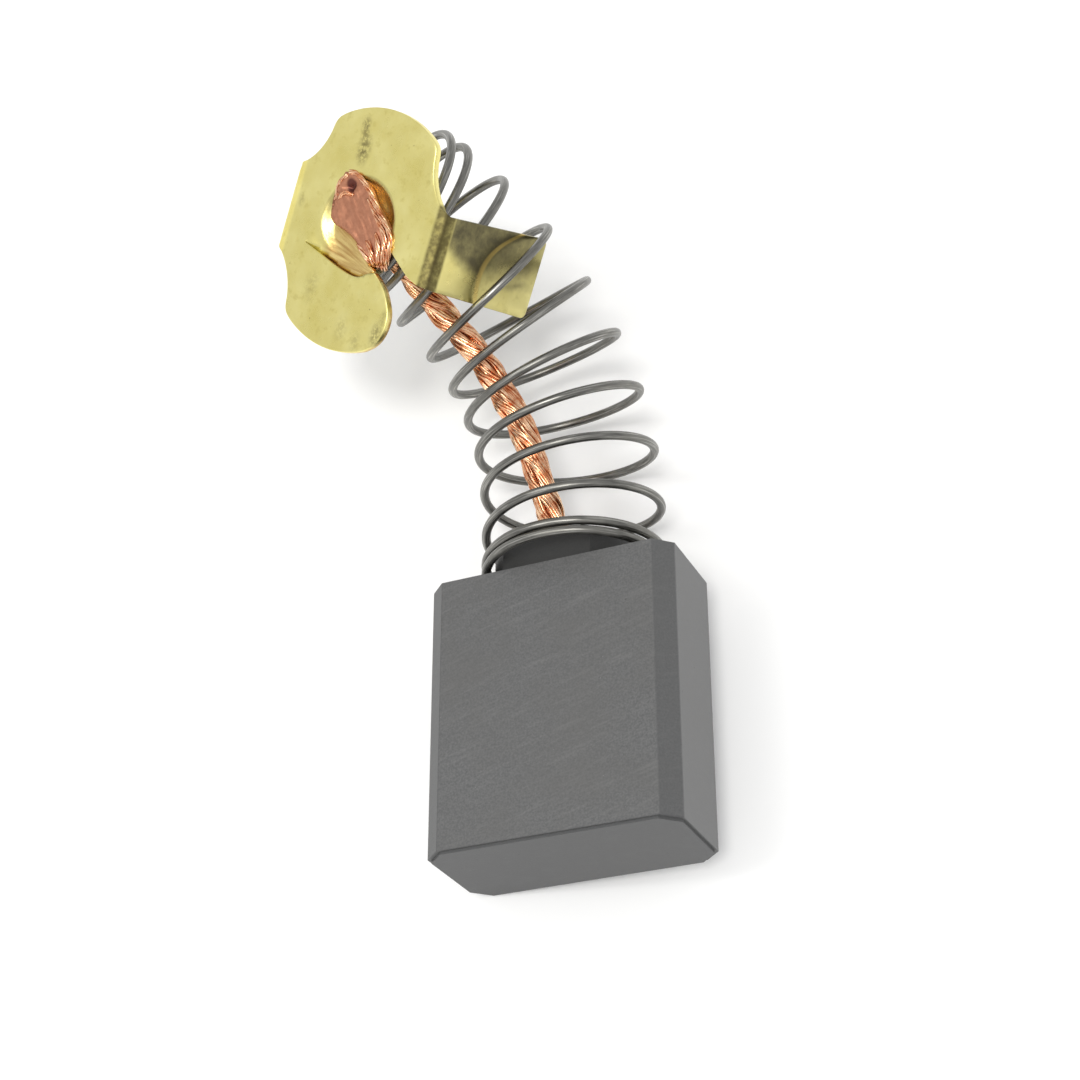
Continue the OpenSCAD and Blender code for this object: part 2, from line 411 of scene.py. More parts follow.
def graphite():
    m = Mat("graphite")
    m.set(Metallic=0.0, IOR=1.5)
    v = m.local(placed((0, 0, 0)), LAY)
    x, y, z = m.xyz(v)
    grain = m.noise(v, 9.0, 6, 0.62)
    cloud = m.noise(v, 0.3, 3, 0.5)
    # faint grinding streaks that climb to the right across the wide faces
    st = m.noise(m.map(m.map(v, (1, 1, 1), rot=(0, 0, math.radians(-16))), (0.22, 2.6, 1.0)), 1.5, 4, 0.6)
    fine = m.noise(m.map(m.map(v, (1, 1, 1), rot=(0, 0, math.radians(-14))), (0.8, 9.0, 2.0)), 1.3, 3, 0.55)
    c = m.mix(m.ramp(grain, [(0.35, 0.0), (0.65, 1.0)]), (0.078, 0.079, 0.080), (0.124, 0.124, 0.123))
    c = m.mix(m.ramp(cloud, [(0.35, 0.0), (0.7, 0.5)]), c, (0.096, 0.094, 0.090))
    c = m.mix(m.ramp(st, [(0.52, 0.0), (0.80, 0.30)]), c, (0.19, 0.188, 0.184))
    # painted shade: the contact end face is coloured darker
    contact_end_shade = m.step(y, -14.75, -14.9)
    c = m.mix(m.math("MULTIPLY", contact_end_shade, 0.62), c, (0.060, 0.061, 0.062))
    # painted shade: the chamfers are coloured darker than the ground faces
    ridge = m.math("ADD", m.math("ABSOLUTE", x), m.math("ABSOLUTE", z))
    chamfer_shade = m.math("MULTIPLY", m.step(ridge, 9.02, 9.09), m.step(y, 0.02, -0.06))
    c = m.mix(m.math("MULTIPLY", chamfer_shade, 0.45), c, (0.070, 0.071, 0.072))
    # painted light: the side faces are coloured lighter
    side = m.math("MULTIPLY", m.step(m.math("ABSOLUTE", x), 6.70, 6.745), m.step(y, 0.02, -0.06))
    c = m.mix(m.math("MULTIPLY", side, 0.34), c, (0.20, 0.20, 0.20))
    # painted shade: the boss and the shoulder, inside the spring, are coloured near black
    boss_shade = m.step(y, -0.05, 0.1)
    c = m.mix(m.math("MULTIPLY", boss_shade, 0.92), c, (0.024, 0.024, 0.023))
    # dark pits, and painted glints: scattered lighter specks standing in for the grain's sparkle
    pits = m.voronoi(v, 1.7)
    pitm = m.ramp(pits, [(0.02, 1.0), (0.085, 0.0)])
    keep = m.ramp(m.noise(v, 0.8, 2), [(0.5, 0.0), (0.6, 1.0)])
    pitm = m.math("MULTIPLY", pitm, keep)
    c = m.mix(m.math("MULTIPLY", pitm, 0.55), c, (0.035, 0.035, 0.035))
    painted_glints = m.ramp(m.voronoi(v, 3.1), [(0.03, 1.0), (0.08, 0.0)])
    painted_glints = m.math("MULTIPLY", painted_glints, m.ramp(m.noise(v, 1.1, 2), [(0.55, 0.0), (0.65, 1.0)]))
    c = m.mix(m.math("MULTIPLY", painted_glints, 0.45), c, (0.36, 0.36, 0.36))
    m.link(Base_Color=c)
    rough = m.ramp(m.math("ADD", m.math("MULTIPLY", grain, 0.7), m.math("MULTIPLY", st, 0.3)), [(0.3, 0.44), (0.75, 0.64)])
    m.link(Roughness=rough)
    nb = m.bump(grain, 0.35, 0.03)
    nb = m.bump(fine, 0.12, 0.02, nb)
    nb = m.bump(m.math("SUBTRACT", 1.0, pitm), 0.6, 0.05, nb)
    m.link(Normal=nb)
    return m.m


def powder():
    m = Mat("tamping_powder")
    g = m.noise(m.mm, 14, 6, 0.7)
    m.link(Base_Color=m.mix(g, (0.010, 0.008, 0.007), (0.07, 0.045, 0.033)))
    m.link(Roughness=m.ramp(g, [(0.3, 0.6), (0.7, 0.9)]))
    m.link(Normal=m.bump(g, 0.8, 0.08))
    return m.m


def steel():
    m = Mat("spring_steel")
    m.set(Metallic=1.0)
    drawn = m.noise(m.map(m.uv, (14, 0.9, 1)), 1.0, 4, 0.6)
    fine = m.noise(m.map(m.uv, (40, 2.0, 1)), 1.0, 2, 0.5)
    patch = m.noise(m.mm, 0.5, 3, 0.6)
    c = m.mix(m.ramp(drawn, [(0.3, 0.0), (0.7, 1.0)]), (0.112, 0.110, 0.101), (0.235, 0.230, 0.212))
    c = m.mix(m.ramp(patch, [(0.48, 0.0), (0.75, 0.5)]), c, (0.23, 0.222, 0.20))
    # painted highlights: pale streaks along the wires
    streak_highlight = m.noise(m.map(m.uv, (22, 0.35, 1)), 1.0, 3, 0.6)
    c = m.mix(m.ramp(streak_highlight, [(0.53, 0.0), (0.68, 0.7)]), c, (0.56, 0.55, 0.51))
    m.link(Base_Color=c)
    m.link(Roughness=m.ramp(m.math("ADD", m.math("MULTIPLY", drawn, 0.5), m.math("MULTIPLY", patch, 0.5)), [(0.3, 0.27), (0.7, 0.46)]))
    m.link(Normal=m.bump(fine, 0.25, 0.012))
    return m.m


def brass():
    m = Mat("brass")
    m.set(Metallic=1.0)
    v = m.local(placed(TERM_AT), LAY @ TERM_R)
    u, w, n = m.xyz(v)
    au = m.math("ABSOLUTE", u)
    cloud = m.noise(v, 0.42, 4, 0.55)
    spot = m.noise(v, 1.5, 5, 0.6)
    fine = m.noise(m.map(v, (3, 14, 3), rot=(0.3, 0.2, 0.5)), 1.2, 3, 0.6)
    c = m.mix(m.ramp(cloud, [(0.3, 0.0), (0.7, 1.0)]), (0.760, 0.662, 0.215), (0.88, 0.800, 0.335))
    c = m.mix(m.ramp(spot, [(0.56, 0.0), (0.74, 0.5)]), c, (0.50, 0.42, 0.115))
    # painted reflections on the legs: the whole leg is coloured a little darker, with a painted dark reflection along
    # the upper edge and a light curved band that is a painted reflection of the spring's coil
    la = m.math("MULTIPLY", m.math("ADD", n, 0.7), -1 / 7.65)
    lb = m.math("MULTIPLY", m.math("ADD", w, 2.05), 1 / 4.3)
    wob = m.math("MULTIPLY", m.math("SUBTRACT", m.noise(v, 0.55, 3, 0.55), 0.5), 0.22)
    lbw = m.math("ADD", lb, wob)
    leg = m.math("MULTIPLY", m.step(n, -0.62, -0.85), m.step(au, 5.1, 5.4))
    b3 = m.math("POWER", m.math("MAXIMUM", lb, 0.0), 3.0)
    arc_at = m.math("ADD", m.math("MULTIPLY_ADD", lb, -0.15, 0.43), m.math("MULTIPLY", b3, 0.45))
    off = m.math("SUBTRACT", la, arc_at)
    left = m.step(off, 0.015, -0.015)
    edge_l = m.math("SUBTRACT", lbw, m.math("MULTIPLY_ADD", la, -0.75, 0.56))
    d_left = m.math("MULTIPLY", left, m.step(edge_l, -0.10, 0.16))
    right = m.math("SUBTRACT", 1.0, left)
    d_right = m.math("MULTIPLY", right, m.math("MULTIPLY_ADD", m.step(lbw, 0.18, 0.62), 0.78, 0.12))
    d_right = m.math("MULTIPLY", d_right, m.math("MULTIPLY_ADD", m.step(la, 1.0, 0.84), 0.4, 0.6))
    wave = m.near(m.vec(la, lbw), (0.80, 0.36, 0.0), 0.16, (0.6, 1.6, 1.0))
    leg_dark_reflection = m.math("ADD", m.math("ADD", d_left, d_right), m.math("MULTIPLY", wave, 0.35), clamp=True)
    leg_dark_reflection = m.math("MULTIPLY", leg_dark_reflection, m.math("MULTIPLY_ADD", spot, 0.5, 0.68), clamp=True)
    c = m.mix(m.math("MULTIPLY", leg, 0.34), c, (0.52, 0.455, 0.20))
    c = m.mix(m.math("MULTIPLY", leg, leg_dark_reflection), c, (0.100, 0.087, 0.047))
    leg_coil_reflection = m.math("MULTIPLY", m.step(m.math("ABSOLUTE", off), 0.036, 0.012), m.step(lb, -0.05, 0.1))
    c = m.mix(m.math("MULTIPLY", m.math("MULTIPLY", leg, leg_coil_reflection), 0.75), c, (0.60, 0.44, 0.13))
    # the right bend is coloured darker and speckled
    bend = m.math("MULTIPLY", m.step(u, 4.8, 5.08), m.step(n, -0.85, -0.6))
    speck = m.ramp(m.noise(v, 3.2, 3, 0.6), [(0.34, 0.72), (0.60, 1.0)])
    c = m.mix(m.math("MULTIPLY", m.math("MULTIPLY", bend, speck), 0.90), c, (0.135, 0.110, 0.046))
    # painted shade along the bend's crease
    crease_shade = m.math("MULTIPLY", bend, m.near(m.vec(u, 0.0), (5.52, 0.0, 0.0), 0.16))
    c = m.mix(m.math("MULTIPLY", crease_shade, 0.8), c, (0.07, 0.055, 0.025))
    # painted shade on the dimple's upper wall, and the open side is streaked towards the notch in copper colours that
    # are a painted reflection of the pressed copper
    rho = m.math("SQRT", m.math("ADD", m.math("POWER", m.math("ADD", u, 0.2), 2.0), m.math("POWER", m.math("SUBTRACT", w, 0.2), 2.0)))
    ring = m.math("MULTIPLY", m.step(rho, 2.25, 2.42), m.step(rho, 2.72, 2.55))
    ring = m.math("MULTIPLY", ring, m.step(w, -0.5, 0.5))
    c = m.mix(m.math("MULTIPLY", ring, 0.62), c, (0.27, 0.21, 0.075))
    deep = m.math("MULTIPLY", m.step(n, -0.10, -0.30), m.step(n, -0.62, -0.55))
    turn = m.math("ARCTAN2", m.math("ADD", w, 2.3), m.math("SUBTRACT", 2.9, u))
    far = m.math("SQRT", m.math("ADD", m.math("POWER", m.math("ADD", w, 2.3), 2.0), m.math("POWER", m.math("SUBTRACT", u, 2.9), 2.0)))
    rays = m.noise(m.vec(m.math("MULTIPLY", turn, 16.0), m.math("MULTIPLY", far, 0.35)), 1.0, 4, 0.6)
    # real striations, coloured with a painted reflection of the pressed copper
    striations_copper_reflection = m.mix(m.ramp(rays, [(0.36, 0.0), (0.64, 1.0)]), (0.46, 0.235, 0.075), (0.88, 0.66, 0.27))
    open_side = m.math("MULTIPLY", m.math("MULTIPLY", deep, m.step(w, 0.3, -0.3)), m.math("MULTIPLY", m.step(u, -2.6, -1.7), m.step(u, 4.2, 3.6)))
    c = m.mix(m.math("MULTIPLY", open_side, 0.85), c, striations_copper_reflection)
    # specks and finger smudges; the patches at (3.2, -4.9) and (3.4, -3.9) make the lower lobe darker towards its right
    # edge
    specks = m.ramp(m.voronoi(v, 1.25), [(0.02, 1.0), (0.075, 0.0)])
    keep = m.ramp(m.noise(v, 0.6, 2), [(0.52, 0.0), (0.6, 1.0)])
    specks = m.math("MULTIPLY", specks, keep)
    c = m.mix(m.math("MULTIPLY", specks, 0.65), c, (0.16, 0.12, 0.05))
    rag = m.ramp(m.noise(v, 4.0, 4, 0.7), [(0.38, 0.0), (0.56, 1.0)])
    for p, r, k in (((-1.5, 5.25, 0), 0.75, 0.9), ((-1.2, 4.05, 0), 1.15, 1.0), ((-1.35, 4.7, 0), 0.7, 0.6),
                    ((3.2, -4.9, 0), 1.0, 0.85), ((3.4, -3.9, 0), 0.6, 0.5), ((-4.6, 0.6, 0), 0.6, 0.35),
                    ((-2.2, -3.6, 0), 1.3, 0.28), ((0.7, -5.2, 0), 1.1, 0.3), ((1.9, -5.6, 0), 0.8, 0.35)):
        g = m.math("MULTIPLY", m.near(v, p, r, (1.7, 1.0, 1.0)), rag)
        c = m.mix(m.math("MULTIPLY", g, k), c, (0.25, 0.21, 0.085))
    m.link(Base_Color=c)
    rough = m.ramp(m.math("ADD", m.math("MULTIPLY", spot, 0.6), m.math("MULTIPLY", cloud, 0.4)), [(0.3, 0.22), (0.7, 0.40)])
    rough = m.math("ADD", rough, m.math("MULTIPLY", m.step(au, 4.8, 5.08), m.math("MULTIPLY", m.step(n, -0.85, -0.6), 0.34)))
    m.link(Roughness=rough)
    nb = m.bump(cloud, 0.10, 0.25)
    nb = m.bump(spot, 0.12, 0.04, nb)
    nb = m.bump(fine, 0.10, 0.01, nb)
    nb = m.bump(m.math("MULTIPLY", rays, open_side), 0.5, 0.06, nb)
    m.link(Normal=nb)
    return m.m


def copper():
    m = Mat("copper")
    m.set(Metallic=1.0)
    a = m.noise(m.mm, 1.9, 3, 0.55)
    b = m.noise(m.map(m.uv, (5, 1.3, 1)), 1.0, 3, 0.5)
    c = m.mix(m.ramp(a, [(0.34, 0.0), (0.62, 1.0)]), (0.66, 0.235, 0.095), (1.0, 0.68, 0.44))
    c = m.mix(m.ramp(b, [(0.52, 0.0), (0.70, 0.75)]), c, (0.34, 0.10, 0.04))
    m.link(Base_Color=c)
    m.link(Roughness=m.ramp(b, [(0.3, 0.16), (0.7, 0.32)]))
    m.link(Normal=m.bump(b, 0.2, 0.01))
    return m.m


def pressed_copper():
    m = Mat("pressed_copper")
    m.set(Metallic=1.0)
    v = m.local(placed(TERM_AT), LAY @ TERM_R)
    a = m.noise(v, 3.5, 5, 0.65)
    b = m.noise(v, 0.9, 3, 0.5)
    lay = m.noise(m.map(m.map(v, (1, 1, 1), rot=(0, 0, math.radians(40))), (0.5, 5.0, 1.0)), 1.3, 4, 0.6)
    c = m.mix(m.ramp(a, [(0.3, 0.0), (0.7, 1.0)]), (0.43, 0.180, 0.105), (0.54, 0.255, 0.155))
    c = m.mix(m.ramp(lay, [(0.5, 0.0), (0.75, 0.30)]), c, (0.62, 0.30, 0.18))
    c = m.mix(m.ramp(b, [(0.45, 0.0), (0.7, 0.35)]), c, (0.56, 0.26, 0.155))
    # painted shade in the pad's pit
    pit_shade = m.near(v, (-1.42, 2.08, -0.2), 0.60, (1.15, 0.95, 0.5))
    c = m.mix(m.math("MULTIPLY", m.step(pit_shade, 0.1, 0.55), 0.9), c, (0.12, 0.04, 0.035))
    m.link(Base_Color=c)
    m.link(Roughness=m.ramp(a, [(0.3, 0.36), (0.7, 0.58)]))
    nb = m.bump(a, 0.5, 0.03)
    nb = m.bump(lay, 0.35, 0.04, nb)
    m.link(Normal=nb)
    return m.m


GRAPHITE, POWDER, STEEL, BRASS, COPPER, PRESSED = graphite(), powder(), steel(), brass(), copper(), pressed_copper()


def finish_piece(o, mats, replaces=None):
    o.data.materials.clear()
    for q in mats:
        o.data.materials.append(q)
    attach(o, ROOT)
    if replaces:
        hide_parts(*replaces)
    return o


# ---------------------------------------------------------------------------
# spring
# ---------------------------------------------------------------------------
def spring_axis(steps):
    n = int(round((TURN_LAST - TURN_FIRST) * steps))
    t, e1, c = np.array([0, 1.0, 0]), np.array([1.0, 0, 0]), COIL_START.copy()
    f = TURN_FIRST + np.arange(n + 1) / steps
    out = []
    k = np.arange(len(PITCH))
    for i in range(n + 1):
        e2 = np.cross(t, e1)
        out.append((c, t, e1, e2))
        g = f[i] + 0.5 / steps
        a = math.radians(np.interp(g, k, BEND_A)) / steps
        b = math.radians(np.interp(g, k, BEND_B)) / steps
        t2 = unit(t + a * e1 + b * e2)
        c = c + np.interp(g, k, PITCH) / steps * unit(t + t2)
        e1 = unit(e1 - t2 * (e1 @ t2))
        t = t2
    return f, out


def make_spring():
    f, ax = spring_axis(96)
    q = np.radians(360 * f + COIL_PHASE)
    p = np.array([c + COIL_R * (math.cos(w) * e1 + math.sin(w) * e2) for w, (c, t, e1, e2) in zip(q, ax)])
    v, faces, uvs = tube(p, WIRE_D / 2, 14, (0, 1, 0), round_end=0.04)
    o = new_mesh("spring_wire", placed(v), faces, uvs=uvs)
    finish_piece(o, [STEEL], ["spring"])


make_spring()

# ---------------------------------------------------------------------------
# graphite block
# ---------------------------------------------------------------------------
node = frame["nodes"]["carbon_block"]
node.data.materials.clear()
node.data.materials.append(GRAPHITE)
bev = node.modifiers.new("worn_edges", "BEVEL")
bev.width = 0.09 * MM
bev.segments = 3
bev.limit_method = "ANGLE"
bev.angle_limit = math.radians(28)
bev.harden_normals = True
node = frame["nodes"]["tamping_plug"]
node.data.materials.clear()
node.data.materials.append(POWDER)

# ---------------------------------------------------------------------------
# terminal: one sheet, cut flat, dimpled and folded
# ---------------------------------------------------------------------------
LOBE_R, LEG_OUT, BEND_R, LEG_L = 6.45, 5.68, 0.64, 8.35
FOLD_AT = LEG_OUT - BEND_R
FOLD_MID = BEND_R - SHEET / 2
FOLD_LEN = FOLD_MID * math.pi / 2
TIP = FOLD_AT + FOLD_LEN + LEG_L - BEND_R
LEG_V, LEG_ROOT, LEG_TIP, TIP_R = 0.1, 1.95, 2.2, 0.35
RELIEF = [((7.33, 5.2), 3.62), ((-6.9, 5.2), 3.15), ((-7.6, -5.4), 3.95), ((7.33, -5.2), 3.62)]


def circle_points(c, r, a0, a1, step=0.12):
    n = max(2, int(abs(a1 - a0) * r / step))
    a = np.linspace(a0, a1, n + 1)
    return [(c[0] + r * math.cos(x), c[1] + r * math.sin(x)) for x in a]


def circle_hit(c1, r1, c2, r2, pick):
    """The meeting point of two circles that pick() likes best."""
    c1, c2 = np.array(c1, float), np.array(c2, float)
    d = np.linalg.norm(c2 - c1)
    a = (r1 * r1 - r2 * r2 + d * d) / (2 * d)
    h = math.sqrt(max(r1 * r1 - a * a, 0))
    u = (c2 - c1) / d
    w = np.array([-u[1], u[0]])
    return max((c1 + a * u + h * w, c1 + a * u - h * w), key=pick)


def ang(c, p):
    return math.atan2(p[1] - c[1], p[0] - c[0])


def arc(c, r, p, q, ccw, step=0.12):
    a0, a1 = ang(c, p), ang(c, q)
    if ccw:
        while a1 < a0:
            a1 += 2 * math.pi
    else:
        while a1 > a0:
            a1 -= 2 * math.pi
    return circle_points(c, r, a0, a1, step)


def line(p, q, step=0.15):
    n = max(1, int(math.dist(p, q) / step))
    return [(p[0] + (q[0] - p[0]) * i / n, p[1] + (q[1] - p[1]) * i / n) for i in range(n + 1)]


def leg_edge(side_s, side_t):
    """Root and tip corner points of a leg's edge in the flat sheet."""
    root_s = FOLD_AT + FOLD_LEN + 0.05
    return (side_s * root_s, LEG_V + side_t * LEG_ROOT), (side_s * TIP, LEG_V + side_t * LEG_TIP)


def relief_leg(i, ss, st):
    """Where a relief circle meets the leg's edge line."""
    (cx, cy), r = RELIEF[i]
    y = LEG_V + st * LEG_ROOT
    d = r * r - (y - cy) ** 2
    x = cx - ss * math.sqrt(d) if d > 0 else cx
    x = ss * min(max(abs(x), FOLD_AT + 0.15), FOLD_AT + FOLD_LEN + 0.1)
    return (x, y)


SLIT = [(1.94, -1.86), (1.5, -2.02), (1.0, -2.3), (0.35, -2.38), (-0.6, -2.24), (-1.6, -2.0), (-2.6, -1.74), (-3.55, -1.48)]


SLIT_LINE = curve(SLIT, 6)[::-1]


def slit_t(s):
    return np.interp(s, SLIT_LINE[:, 0], SLIT_LINE[:, 1])


def sheet_outline():
    pts = []
    hit = [circle_hit((0, 0), LOBE_R, c, r, lambda p, c=c: abs(p[1])) for c, r in RELIEF]
    leg0 = [relief_leg(0, 1, 1), relief_leg(1, -1, 1), relief_leg(2, -1, -1), relief_leg(3, 1, -1)]
    # right leg, from its lower edge round the tip to its upper edge
    pts += line(leg0[3], (TIP - TIP_R, LEG_V - LEG_TIP), 0.3)
    pts += circle_points((TIP - TIP_R, LEG_V - LEG_TIP + TIP_R), TIP_R, -math.pi / 2, 0, 0.08)
    pts += line((TIP, LEG_V - LEG_TIP + TIP_R), (TIP, LEG_V + LEG_TIP - TIP_R), 0.3)
    pts += circle_points((TIP - TIP_R, LEG_V + LEG_TIP - TIP_R), TIP_R, 0, math.pi / 2, 0.08)
    pts += line((TIP - TIP_R, LEG_V + LEG_TIP), leg0[0], 0.3)
    (c, r) = RELIEF[0]
    pts += arc(c, r, leg0[0], hit[0], False)
    pts += arc((0, 0), LOBE_R, hit[0], hit[1], True)
    (c, r) = RELIEF[1]
    pts += arc(c, r, hit[1], leg0[1], False)
    pts += line(leg0[1], (-TIP + TIP_R, LEG_V + LEG_TIP), 0.3)
    pts += circle_points((-TIP + TIP_R, LEG_V + LEG_TIP - TIP_R), TIP_R, math.pi / 2, math.pi, 0.08)
    pts += line((-TIP, LEG_V + LEG_TIP - TIP_R), (-TIP, LEG_V - LEG_TIP + TIP_R), 0.3)
    pts += circle_points((-TIP + TIP_R, LEG_V - LEG_TIP + TIP_R), TIP_R, math.pi, 1.5 * math.pi, 0.08)
    pts += line((-TIP + TIP_R, LEG_V - LEG_TIP), leg0[2], 0.3)
    (c, r) = RELIEF[2]
    pts += arc(c, r, leg0[2], hit[2], False)
    turn_off = (2.6, -math.sqrt(LOBE_R ** 2 - 2.6 ** 2))
    pts += arc((0, 0), LOBE_R, hit[2], turn_off, True)
    # lower right side of the lobe up to the notch's lower edge
    pts += curve([turn_off, (3.14, -5.52), (3.52, -5.0), (3.68, -4.35), (3.60, -3.65), (3.24, -3.0), (2.74, -2.42), SLIT[0]], 5).tolist()
    # the slit, down one side and back the other
    pts += curve(SLIT, 6).tolist()
    back_side = [(s, t + 0.045) for s, t in SLIT[::-1]]
    back_side[0] = (SLIT[-1][0] - 0.03, SLIT[-1][1] + 0.04)
    back_side[-1] = (1.62, -1.85)
    pts += curve(back_side, 6).tolist()
    # under the pressed copper: the eye the shunt comes up through
    pts += curve([(1.62, -1.85), (0.75, -1.15), (0.42, -0.45), (0.75, 0.3), (1.4, 0.52), (2.05, 0.2), (2.42, -0.3), (2.6, -0.58)], 4).tolist()
    pts += curve([(2.6, -0.58), (3.25, -0.98), (4.04, -1.46), (4.75, -1.72), leg0[3]], 6).tolist()
    # drop repeated points
    out = [pts[0]]
    for p in pts[1:]:
        if math.dist(p, out[-1]) > 0.02:
            out.append(tuple(p))
    if math.dist(out[0], out[-1]) < 0.02:
        out.pop()
    # the lobes' corners are rounded
    q = np.array(out)
    near = np.min([np.hypot(*(q - c).T) for c in hit[:3]], axis=0) < 0.62
    for _ in range(14):
        q[near] += 0.5 * ((np.roll(q, 1, 0) + np.roll(q, -1, 0)) / 2 - q)[near]
    return [tuple(p) for p in q.tolist()]


def smooth01(x):
    x = np.clip(x, 0, 1)
    return x * x * (3 - 2 * x)


DIMPLE, DIMPLE_DEEP = (-0.2, 0.2), 0.45


def sheet_height(s, t):
    """How far the sheet is stamped below its plane, as a negative height."""
    s, t = np.asarray(s, float), np.asarray(t, float)
    rho = np.hypot(s - DIMPLE[0], t - DIMPLE[1])
    bowl = 1 - smooth01((rho - 1.95) / 0.68)
    above = t - slit_t(s)
    inside = (above > 0.02) & (s < 2.2) & (s > -3.6)
    drop = 0.62 * smooth01((s + 3.5) / 1.7) * (1 - smooth01((above - 0.25) / 1.35))
    h = np.where(inside, np.maximum(bowl, drop), 0.0)
    return -DIMPLE_DEEP * h


def fold(s, t, d, h):
    """Flat sheet (s, t), d off its middle and h stamped, to the terminal's own axes."""
    s, t, d, h = (np.asarray(x, float) for x in (s, t, d, h))
    a = np.abs(s)
    sg = np.sign(s)
    th = np.clip((a - FOLD_AT) / FOLD_MID, 0, math.pi / 2)
    run = np.clip(a - FOLD_AT - FOLD_LEN, 0, None)
    rad = FOLD_MID + d
    x = np.where(a <= FOLD_AT, a, FOLD_AT + rad * np.sin(th))
    z = np.where(a <= FOLD_AT, -SHEET / 2 + d + h, -BEND_R + rad * np.cos(th) - run)
    return np.stack([x * sg, t, z], axis=-1)


def make_terminal():
    outline = sheet_outline()
    grid = []
    for s in np.arange(-5.0, 5.01, 0.2):
        for t in np.arange(-6.4, 6.41, 0.2):
            grid.append((s + (0.1 if int(round(t / 0.2)) % 2 else 0), t))
    for sg in (-1, 1):
        for s in list(np.arange(FOLD_AT + 0.12, FOLD_AT + FOLD_LEN, 0.138)) + list(np.arange(FOLD_AT + FOLD_LEN + 0.2, TIP, 0.55)):
            for t in np.arange(-2.0, 2.41, 0.4):
                grid.append((sg * s, t))
    ring = np.array(outline)
    from_edge = []
    for g in grid:
        d = np.hypot(ring[:, 0] - g[0], ring[:, 1] - g[1]).min()
        if d > 0.1:
            from_edge.append(g)
    co = [Vector(p) for p in outline] + [Vector(p) for p in from_edge]
    n = len(outline)
    edges = [(i, (i + 1) % n) for i in range(n)]
    vo, eo, fo, ov, oe, of_ = geometry.delaunay_2d_cdt(co, edges, [list(range(n))], 1, 1e-4)
    vo, fo = used_only(vo, fo)
    flat = np.array([(v.x, v.y) for v in vo])
    faces = [list(f) for f in fo]
    s, t = flat[:, 0], flat[:, 1]
    h = sheet_height(s, t)
    # the lip of the slit on the lobe's side stays up, the other side goes down
    wave = np.array([noise.noise(Vector((a * 0.45, b * 0.45, 3.1))) for a, b in flat]) * 0.035
    k = 0.03 * np.exp(-((t - slit_t(s)) / 0.4) ** 2) * (t < slit_t(s) + 0.02) * (s > -3.5) * (s < 2)
    h = h + np.where(np.abs(s) < FOLD_AT, wave * smooth01((FOLD_AT - np.abs(s)) / 0.8) - 0.02, 0) + k
    # the slit is a shear cut: its two sides stay against one another
    above = t - slit_t(s)
    tc = t - 0.043 * ((above > 0.02) & (above < 0.07) & (s < 1.55) & (s > -3.5))
    top = fold(s, tc, np.full(len(s), SHEET / 2), h)
    bot = fold(s, tc, np.full(len(s), -SHEET / 2), h)
    m = len(flat)
    F = [f for f in faces] + [[i + m for i in f[::-1]] for f in faces]
    # cut edges
    count = {}
    for f in faces:
        for i in range(len(f)):
            e = (f[i], f[(i + 1) % len(f)])
            count[e] = count.get(e, 0) + 1
    for (a, b) in list(count):
        if (b, a) not in count:
            F.append([b, a, a + m, b + m])
    V = placed(on_terminal(np.vstack([top, bot])))
    o = new_mesh("terminal_sheet", V, F)
    me = o.data
    slit = (np.abs(t - slit_t(s)) < 0.12) & (s < 1.9) & (s > -3.8)
    rim = {tuple(sorted((a, b))) for (a, b) in count if (b, a) not in count and not (slit[a] or slit[b])}
    rim |= {(a + m, b + m) for a, b in rim}
    att = me.attributes.new("bevel_weight_edge", "FLOAT", "EDGE")
    ev = np.empty(len(me.edges) * 2, dtype=np.int32)
    me.edges.foreach_get("vertices", ev)
    ev = ev.reshape(-1, 2)
    att.data.foreach_set("value", [1.0 if (min(a, b), max(a, b)) in rim else 0.0 for a, b in ev.tolist()])
    b = o.modifiers.new("deburred", "BEVEL")
    b.width = 0.05 * MM
    b.segments = 2
    b.limit_method = "WEIGHT"
    w = o.modifiers.new("normals", "WEIGHTED_NORMAL")
    w.keep_sharp = True
    finish_piece(o, [BRASS], ["terminal"])


make_terminal()


# ---------------------------------------------------------------------------
# shunt: seven bundles of fine wires laid up as a rope, then pressed flat
# ---------------------------------------------------------------------------
PAD = [(-2.0, 2.67), (-1.33, 2.79), (-0.28, 2.39), (0.55, 1.62), (1.55, 0.89), (2.30, 0.26), (2.42, -0.47),
       (1.85, -1.42), (0.85, -1.25), (-0.1, -0.72), (-0.9, -0.36), (-2.25, 0.0), (-2.45, 0.88), (-2.26, 1.72)]
# bundles of wires that stay round along the pad's edges: points on the
# terminal (across, along, height) from the notch outwards
RIBS = [
    [(1.95, -1.55, -0.75), (2.36, -1.1, -0.22), (2.5, -0.45, 0.02), (2.3, 0.22, 0.05), (1.58, 0.84, 0.02), (0.6, 1.58, 0.0),
     (-0.28, 2.3, 0.02), (-1.15, 2.74, 0.03), (-1.72, 2.74, 0.0)],
    [(1.75, -1.55, -0.72), (2.14, -1.18, -0.16), (2.2, -0.52, 0.08), (1.95, 0.1, 0.08), (1.36, 0.58, 0.0), (0.62, 1.16, -0.10),
     (0.0, 1.72, -0.14)],
    [(1.5, -1.6, -0.7), (1.86, -1.3, -0.15), (1.85, -0.8, 0.04), (1.55, -0.25, 0.02), (1.2, 0.1, -0.12)],
    [(1.3, -1.55, -0.7), (1.52, -1.42, -0.2), (1.42, -1.08, 0.0), (1.08, -0.68, -0.02), (0.74, -0.42, -0.14)],
    [(1.0, -1.5, -0.66), (1.15, -1.42, -0.28), (0.98, -1.22, -0.10), (0.55, -0.96, -0.12), (0.1, -0.74, -0.22)],
    [(-2.36, 1.1, -0.2), (-2.32, 1.7, -0.06), (-2.14, 2.2, 0.02), (-1.8, 2.56, 0.02)],
    [(-2.05, 1.22, -0.16), (-1.86, 1.5, -0.05), (-1.5, 1.62, -0.03), (-1.1, 1.6, -0.14)]]


